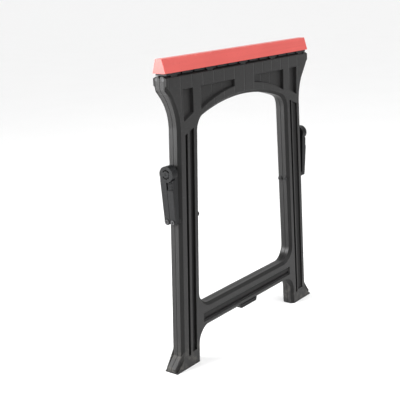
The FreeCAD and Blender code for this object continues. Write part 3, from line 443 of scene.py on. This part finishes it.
def softened(node, name, width, material):
    """Merged copy of a CAD node with rounded corners; it stands for the node."""
    select_only(frame["nodes"][node])
    bpy.ops.object.duplicate()
    piece = bpy.context.view_layer.objects.active
    piece.name = name
    piece.data.name = name
    del piece["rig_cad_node"]
    bpy.ops.object.mode_set(mode="EDIT")
    bpy.ops.mesh.select_all(action="SELECT")
    bpy.ops.mesh.remove_doubles(threshold=MERGE_DISTANCE)
    bpy.ops.mesh.customdata_custom_splitnormals_clear()
    bpy.ops.mesh.dissolve_limited(angle_limit=FLAT_ANGLE)
    bpy.ops.object.mode_set(mode="OBJECT")
    rounding = piece.modifiers.new("rounding", "BEVEL")
    rounding.width = width
    rounding.segments = ROUNDING_SEGMENTS
    rounding.limit_method = "ANGLE"
    rounding.angle_limit = ROUNDED_ANGLE
    bpy.ops.object.modifier_apply(modifier=rounding.name)
    bpy.ops.object.shade_smooth_by_angle(angle=SMOOTH_ANGLE)
    evened = piece.modifiers.new("evened", "WEIGHTED_NORMAL")
    evened.keep_sharp = True
    bpy.ops.object.modifier_apply(modifier=evened.name)
    set_material(piece, material)
    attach(piece, body_name(node))
    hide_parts(node)


# ---------------------------------------------------------------- settings
class SawhorseFinish(bpy.types.PropertyGroup):
    plastic_color: FloatVectorProperty(
        name="Leg plastic", description="Colour of the leg frames", subtype="COLOR", size=3,
        default=(0.0145, 0.0141, 0.0141))
    brace_color: FloatVectorProperty(
        name="Brace plastic", description="Colour of the folding braces", subtype="COLOR", size=3,
        default=(0.0042, 0.0046, 0.0054))
    rail_color: FloatVectorProperty(
        name="Rail plastic", description="Colour of the hinge rail", subtype="COLOR", size=3,
        default=(0.009, 0.0095, 0.01))
    plug_color: FloatVectorProperty(
        name="Plug plastic", description="Colour of the plugs in the beam ends", subtype="COLOR",
        size=3, default=(0.05, 0.05, 0.052))
    cap_color: FloatVectorProperty(
        name="Cap plastic", description="Colour of the top cap", subtype="COLOR", size=3,
        default=(0.62, 0.105, 0.092))
    steel_color: FloatVectorProperty(
        name="Zinc plate", description="Colour of the hinge pins, hub pins and screws",
        subtype="COLOR", size=3, default=(0.46, 0.465, 0.48))
    oxide_color: FloatVectorProperty(
        name="Black oxide", description="Colour of the rivets and leg pins", subtype="COLOR",
        size=3, default=(0.045, 0.045, 0.047))
    rubber_color: FloatVectorProperty(
        name="Sole rubber", description="Colour of the soles", subtype="COLOR", size=3,
        default=(0.02, 0.02, 0.021))
    edge_round: FloatProperty(
        name="Edge rounding", description="Rounding of the mouldings' edges", subtype="DISTANCE",
        unit="LENGTH", default=0.9 * MM, min=0.1 * MM, max=2 * MM)
    small_round: FloatProperty(
        name="Small edge rounding", description="Rounding of the small pieces' edges",
        subtype="DISTANCE", unit="LENGTH", default=0.5 * MM, min=0.05 * MM, max=1 * MM)


class SawhorseStage(bpy.types.PropertyGroup):
    camera_place: FloatVectorProperty(
        name="Camera place", description="Where the camera stands", subtype="TRANSLATION",
        unit="LENGTH", size=3, default=(-1.8212, -1.2836, 0.9862))
    camera_yaw: FloatProperty(
        name="Yaw", description="Turn of the view about the vertical", subtype="ANGLE",
        unit="ROTATION", default=math.radians(-51.84))
    camera_pitch: FloatProperty(
        name="Pitch", description="How far the view looks down", subtype="ANGLE", unit="ROTATION",
        default=math.radians(14.98))
    camera_roll: FloatProperty(
        name="Roll", description="Turn of the camera about its own axis", subtype="ANGLE",
        unit="ROTATION", default=math.radians(-2.28))
    focal_length: FloatProperty(
        name="Focal length", description="Lens, on a 36 mm sensor, in millimetres",
        unit="CAMERA", default=74.6)
    floor_size: FloatProperty(
        name="Floor", description="Side of the square floor", subtype="DISTANCE", unit="LENGTH",
        default=400.0)
    floor_color: FloatVectorProperty(
        name="Floor colour", description="Colour of the floor", subtype="COLOR", size=3,
        default=(0.95, 0.95, 0.95))
    backdrop_glow: FloatProperty(
        name="Backdrop", description="Extra brightness of the surround behind the sawhorse",
        default=0.9, min=0.0)
    sky_strength: FloatProperty(
        name="Surround", description="Brightness of the white surround", default=0.08, min=0.0)
    window_power: FloatProperty(
        name="Left light", description="Power of the broad light on the left end of the beam",
        unit="POWER", default=98.0, min=0.0)
    front_power: FloatProperty(
        name="Front light", description="Power of the broad light in front", unit="POWER",
        default=21.0, min=0.0)
    overhead_strength: FloatProperty(
        name="Overhead light", description="Strength of the soft light from above", default=2.7,
        min=0.0)


# ---------------------------------------------------------------- pieces
class SAWHORSE_OT_leg_frames(bpy.types.Operator):
    """Rounds the edges of both leg frames and gives them their moulded plastic"""

    bl_idname = "sawhorse.leg_frames"
    bl_label = "Leg frames"

    def execute(self, context):
        look = context.scene.sawhorse_finish
        plastic = moulded_plastic("leg_black", look.plastic_color, frame_shade_mask, head_ribs=True)
        for bank in BANKS:
            softened(bank + "_leg_frame", bank + "_leg_moulding", look.edge_round, plastic)
        return {"FINISHED"}


class SAWHORSE_OT_top(bpy.types.Operator):
    """Rounds the cap and the hinge rail under it and finishes both"""

    bl_idname = "sawhorse.top"
    bl_label = "Cap and rail"

    def execute(self, context):
        look = context.scene.sawhorse_finish
        softened("top_cap", "cap_moulding", look.edge_round, red_plastic("cap_red", look.cap_color))
        plastic = moulded_plastic("rail_black", look.rail_color, roughness=0.5, dusty=False)
        softened("hinge_rail", "rail_moulding", look.small_round, plastic)
        return {"FINISHED"}


class SAWHORSE_OT_braces(bpy.types.Operator):
    """Rounds and finishes the links and hub caps of both folding braces"""

    bl_idname = "sawhorse.braces"
    bl_label = "Braces"

    def execute(self, context):
        look = context.scene.sawhorse_finish
        plastic = moulded_plastic("brace_black", look.brace_color, hub_shade_mask, roughness=0.5,
                                  dusty=False, gloss=0.26)
        for side in SIDES:
            for bank in BANKS:
                softened("%s_%s_link" % (side, bank), "%s_%s_arm" % (side, bank), look.small_round,
                         plastic)
            softened(side + "_hub_cap", side + "_hub_button", look.small_round, plastic)
        return {"FINISHED"}


class SAWHORSE_OT_soles(bpy.types.Operator):
    """Rounds the soles and gives them their rubber"""

    bl_idname = "sawhorse.soles"
    bl_label = "Soles"

    def execute(self, context):
        look = context.scene.sawhorse_finish
        sole = rubber("sole_rubber", look.rubber_color)
        for bank in BANKS:
            for side in SIDES:
                softened("%s_%s_foot_pad" % (bank, side), "%s_%s_sole" % (bank, side),
                         look.small_round, sole)
        return {"FINISHED"}


class SAWHORSE_OT_hardware(bpy.types.Operator):
    """Finishes the pins, screws, rivets, washers and plugs"""

    bl_idname = "sawhorse.hardware"
    bl_label = "Pins and fasteners"

    def execute(self, context):
        look = context.scene.sawhorse_finish
        steel = zinc_steel("pin_steel", look.steel_color)
        plug = moulded_plastic("plug_grey", look.plug_color, dusty=False)
        washer = moulded_plastic("washer_black", look.rail_color, roughness=0.5, dusty=False)
        finishes = {"pin_steel": steel, "plug_grey": plug, "washer_black": washer,
                    "pin_black": blackened_steel("pin_black", look.oxide_color)}
        for node, piece in frame["nodes"].items():
            if slot_name(node) in finishes:
                set_material(piece, finishes[slot_name(node)])
        return {"FINISHED"}


# ---------------------------------------------------------------- stage
def area_light(name, place, target, size, power):
    """Rectangular light at a place, turned to its target."""
    bpy.ops.object.light_add(type="AREA", location=place)
    lamp = bpy.context.view_layer.objects.active
    lamp.name = name
    lamp.rotation_euler = (Vector(target) - Vector(place)).to_track_quat("-Z", "Y").to_euler()
    lamp.data.shape = "RECTANGLE"
    lamp.data.size, lamp.data.size_y = size
    lamp.data.energy = power


class SAWHORSE_OT_stage(bpy.types.Operator):
    """Adds the pale floor, the soft lights and the camera"""

    bl_idname = "sawhorse.stage"
    bl_label = "Studio"

    def execute(self, context):
        setup = context.scene.sawhorse_stage
        bpy.ops.object.select_all(action="DESELECT")
        bpy.ops.mesh.primitive_plane_add(size=setup.floor_size)
        floor = context.view_layer.objects.active
        floor.name = "floor"
        set_material(floor, studio_floor("floor", setup.floor_color))

        world = bpy.data.worlds.new("surround")
        world.use_nodes = True
        seen = Value(world.node_tree).node("ShaderNodeLightPath")
        sight = Value(world.node_tree).node("ShaderNodeTexCoord", output=DIRECTION)
        backdrop_along, backdrop_back, backdrop_span = 0.82, 0.57, (0.35, 0.9)
        behind = split(sight, 0) * backdrop_along + split(sight, 1) * backdrop_back
        glow = behind.between(*backdrop_span) * setup.backdrop_glow
        world.node_tree.nodes["Background"].inputs["Color"].default_value = (1, 1, 1, 1)
        feed(world.node_tree.nodes["Background"], world.node_tree,
             Strength=setup.sky_strength + seen * (1 - setup.sky_strength) + glow)
        context.scene.world = world

        area_light("window_left", place=(-1.75, 1.25, 1.2), target=(-0.3, 0.0, 0.8),
                   size=(1.7, 1.1), power=setup.window_power)
        area_light("key_front", place=(0.5, -2.5, 1.5), target=(0.0, 0.0, 0.5),
                   size=(1.8, 1.6), power=setup.front_power)
        tilt = (math.radians(24), math.radians(8), 0.0)
        bpy.ops.object.light_add(type="SUN", rotation=tilt)
        sun = context.view_layer.objects.active
        sun.name = "overhead"
        sun.data.energy = setup.overhead_strength
        sun.data.angle = math.radians(70)

        bpy.ops.object.camera_add(location=setup.camera_place)
        camera = context.view_layer.objects.active
        camera.name = "camera"
        yaw, pitch = setup.camera_yaw, setup.camera_pitch
        ahead = Vector((-math.sin(yaw) * math.cos(pitch), math.cos(yaw) * math.cos(pitch),
                        -math.sin(pitch)))
        level = ahead.to_track_quat("-Z", "Y").to_matrix()
        camera.rotation_euler = (level @ Matrix.Rotation(setup.camera_roll, 3, "Z")).to_euler()
        camera.data.lens = setup.focal_length
        camera.data.sensor_width = SENSOR_WIDTH
        camera.data.clip_end = FAR_CLIP
        context.scene.camera = camera
        context.scene.view_settings.view_transform = "Standard"
        return {"FINISHED"}


class SAWHORSE_PT_panel(bpy.types.Panel):
    """Steps of the sawhorse, in order"""

    bl_label = "Folding sawhorse"
    bl_idname = "SAWHORSE_PT_panel"
    bl_space_type = "VIEW_3D"
    bl_region_type = "UI"
    bl_category = "Sawhorse"

    def draw(self, context):
        for step in STEPS:
            self.layout.operator(step.bl_idname)
        for group in (context.scene.sawhorse_finish, context.scene.sawhorse_stage):
            for name in group.bl_rna.properties.keys():
                if name not in ("rna_type", "name"):
                    self.layout.prop(group, name)


STEPS = (SAWHORSE_OT_leg_frames, SAWHORSE_OT_top, SAWHORSE_OT_braces, SAWHORSE_OT_soles,
         SAWHORSE_OT_hardware, SAWHORSE_OT_stage)
CLASSES = (SawhorseFinish, SawhorseStage) + STEPS + (SAWHORSE_PT_panel,)


def register():
    """Registers the classes and hangs both groups of settings on the scene."""
    for made in CLASSES:
        bpy.utils.register_class(made)
    bpy.types.Scene.sawhorse_finish = PointerProperty(type=SawhorseFinish)
    bpy.types.Scene.sawhorse_stage = PointerProperty(type=SawhorseStage)


def unregister():
    """Undoes register, in the opposite order."""
    del bpy.types.Scene.sawhorse_stage
    del bpy.types.Scene.sawhorse_finish
    for made in reversed(CLASSES):
        bpy.utils.unregister_class(made)


def main():
    """Runs each step in order."""
    register()
    for step in STEPS:
        family, name = step.bl_idname.split(".")
        getattr(getattr(bpy.ops, family), name)()


if __name__ == "__main__":
    main()
